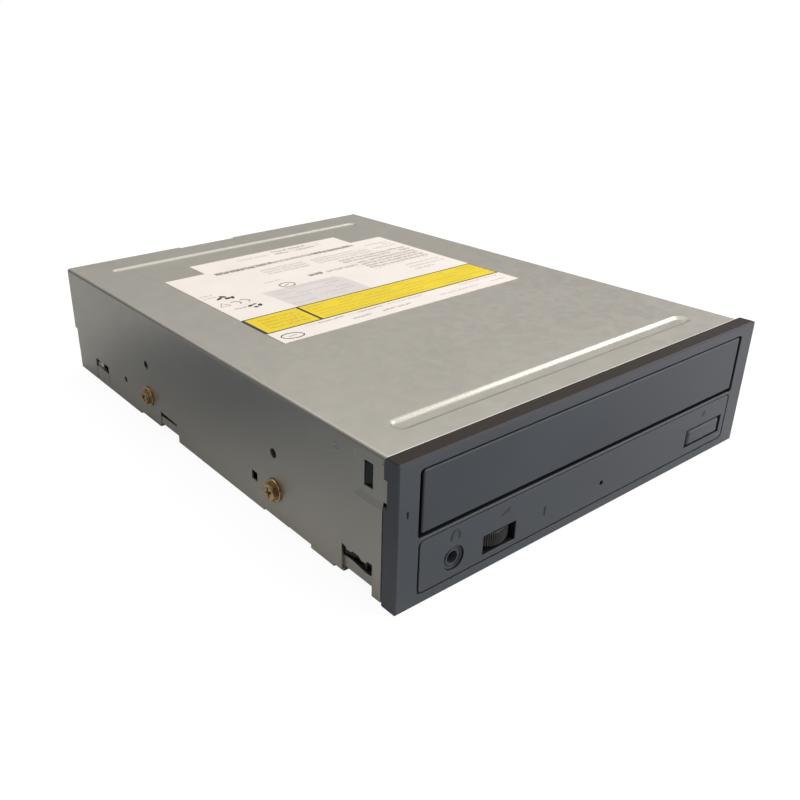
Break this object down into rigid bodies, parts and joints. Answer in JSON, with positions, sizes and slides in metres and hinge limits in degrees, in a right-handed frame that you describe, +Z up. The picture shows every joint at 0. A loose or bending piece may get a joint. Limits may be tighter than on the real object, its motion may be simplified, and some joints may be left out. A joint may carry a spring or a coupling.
{
  "type": "optical disc drive",
  "caption": "Half-height optical disc drive with a folded steel case, black bezel, sliding disc tray and rear interface sockets.",
  "frame": {"origin": "middle of the underside at the bezel's back face", "axes": "+X to the drive's right seen from the front, +Y from the bezel towards the rear sockets, +Z up"},
  "size_m": [0.1492, 0.1975, 0.0417],
  "materials": {
    "zinc_steel": "galvanised sheet, satin",
    "bezel_black": "fine moulded texture",
    "tray_black": "moulded, satin",
    "frame_grey": "glass-filled moulding",
    "natural_plastic": "acetal, waxy",
    "gold_zinc": "yellow chromate zinc plate",
    "bright_steel": "ground and plated",
    "motor_steel": "plated can",
    "rubber_black": "soft",
    "label_paper": "printed film, blank areas",
    "board_green": "solder mask",
    "component_black": "epoxy and connector plastic",
    "connector_white": "nylon",
    "pin_metal": "plated pins",
    "magnet_grey": "sintered",
    "lens_glass": "polished",
    "lamp_clear": "clear light pipe",
    "ribbon_white": "flat film cable",
    "pickup_metal": "die-cast",
    "jumper_blue": "moulded"
  },
  "bodies": {
    "chassis": {"top_cover": "zinc_steel", "bottom_plate": "zinc_steel", "front_bezel": "bezel_black", "volume_pot": "component_black", "headphone_jack": "component_black", "light_pipe": "lamp_clear", "status_led": "lamp_clear", "guide_screws": "gold_zinc", "case_screws": "bright_steel", "case_label": "label_paper", "loader_frame": "frame_grey", "clamper_bridge": "zinc_steel", "loading_motor": "motor_steel", "drive_belt": "rubber_black", "gear_washers": "bright_steel", "main_board": "board_green", "front_board": "board_green", "board_screws": "bright_steel", "board_chips": "component_black", "board_capacitors": "motor_steel", "interface_header": "component_black", "interface_pins": "pin_metal", "power_socket": "connector_white", "power_pins": "pin_metal", "jumper_header": "component_black", "jumper_cap": "jumper_blue", "audio_header": "connector_white", "digital_header": "connector_white", "eject_switch": "component_black", "front_ribbon": "ribbon_white"},
    "tray": {"disc_tray": "tray_black", "tray_door": "bezel_black"},
    "eject_key": {"eject_button": "bezel_black"},
    "volume": {"volume_wheel": "tray_black"},
    "clamp": {"clamper": "tray_black", "clamper_magnet": "magnet_grey"},
    "traverse": {"sub_chassis": "frame_grey", "damper_bushes": "rubber_black", "damper_screws": "bright_steel", "traverse_plate": "zinc_steel", "spindle_base": "motor_steel", "guide_rods": "bright_steel", "sled_motor": "motor_steel"},
    "spindle": {"spindle_rotor": "motor_steel", "turntable": "tray_black", "turntable_pad": "rubber_black", "centring_hub": "bright_steel"},
    "pickup": {"pickup_body": "pickup_metal"},
    "lens": {"lens_holder": "component_black", "objective_lens": "lens_glass"},
    "screw": {"lead_screw": "bright_steel"},
    "motor_pinion": {"motor_pulley": "natural_plastic"},
    "idler": {"pulley_gear": "natural_plastic"},
    "drive": {"drive_gear": "natural_plastic"},
    "cam": {"cam_slider": "natural_plastic"}
  },
  "joints": [
    {"name": "tray_slide", "type": "slide", "parent": "chassis", "child": "tray", "axis": [0, -1, 0], "range_m": [0, 0.14]},
    {"name": "drive_gear_spin", "type": "hinge", "parent": "chassis", "child": "drive", "pos_m": [-0.04, 0.02, 0.022], "axis": [0, 0, 1], "range_deg": [-2, 804]},
    {"name": "idler_spin", "type": "hinge", "parent": "chassis", "child": "idler", "pos_m": [-0.01637, 0.02417, 0.022], "axis": [0, 0, 1], "range_deg": [-2412, 6]},
    {"name": "motor_spin", "type": "hinge", "parent": "chassis", "child": "motor_pinion", "pos_m": [0.018, 0.03, 0.022], "axis": [0, 0, 1], "range_deg": [-8743, 20]},
    {"name": "eject_press", "type": "slide", "parent": "chassis", "child": "eject_key", "axis": [0, 1, 0], "range_m": [0, 0.0008], "stiffness_N_per_m": 600, "springref_m": -0.0008},
    {"name": "volume_turn", "type": "hinge", "parent": "chassis", "child": "volume", "pos_m": [-0.03825, 0.0036, 0.008], "axis": [0, 0, 1], "range_deg": [-135, 135]},
    {"name": "traverse_tilt", "type": "hinge", "parent": "chassis", "child": "traverse", "pos_m": [0, 0.15, 0.013], "axis": [1, 0, 0], "range_deg": [0, 4]},
    {"name": "cam_slide", "type": "slide", "parent": "chassis", "child": "cam", "axis": [1, 0, 0], "range_m": [0, 0.0201]},
    {"name": "spindle_spin", "type": "hinge", "parent": "traverse", "child": "spindle", "pos_m": [0, 0.072, 0.0282], "axis": [0, 0, 1], "continuous": true},
    {"name": "clamper_spin", "type": "hinge", "parent": "chassis", "child": "clamp", "pos_m": [0, 0.072, 0.03], "axis": [0, 0, 1], "continuous": true},
    {"name": "pickup_slide", "type": "slide", "parent": "traverse", "child": "pickup", "axis": [0, 1, 0], "range_m": [-0.004, 0.029]},
    {"name": "lead_screw_spin", "type": "hinge", "parent": "traverse", "child": "screw", "pos_m": [0.031, 0.114, 0.0132], "axis": [0, 1, 0], "range_deg": [-490, 3490]},
    {"name": "lens_focus", "type": "slide", "parent": "pickup", "child": "lens", "axis": [0, 0, 1], "range_m": [0, 0.0008], "stiffness_N_per_m": 40, "springref_m": -0.0005}
  ],
  "couplings": [
    {"joint": "drive_gear_spin", "follows": "tray_slide", "rad_per_m": 100},
    {"joint": "idler_spin", "follows": "tray_slide", "rad_per_m": -300},
    {"joint": "motor_spin", "follows": "tray_slide", "rad_per_m": -1087.5},
    {"joint": "cam_slide", "follows": "traverse_tilt", "m_per_rad": 0.28648},
    {"joint": "clamper_spin", "follows": "spindle_spin", "ratio": 1},
    {"joint": "lead_screw_spin", "follows": "pickup_slide", "rad_per_m": 2094.4}
  ]
}
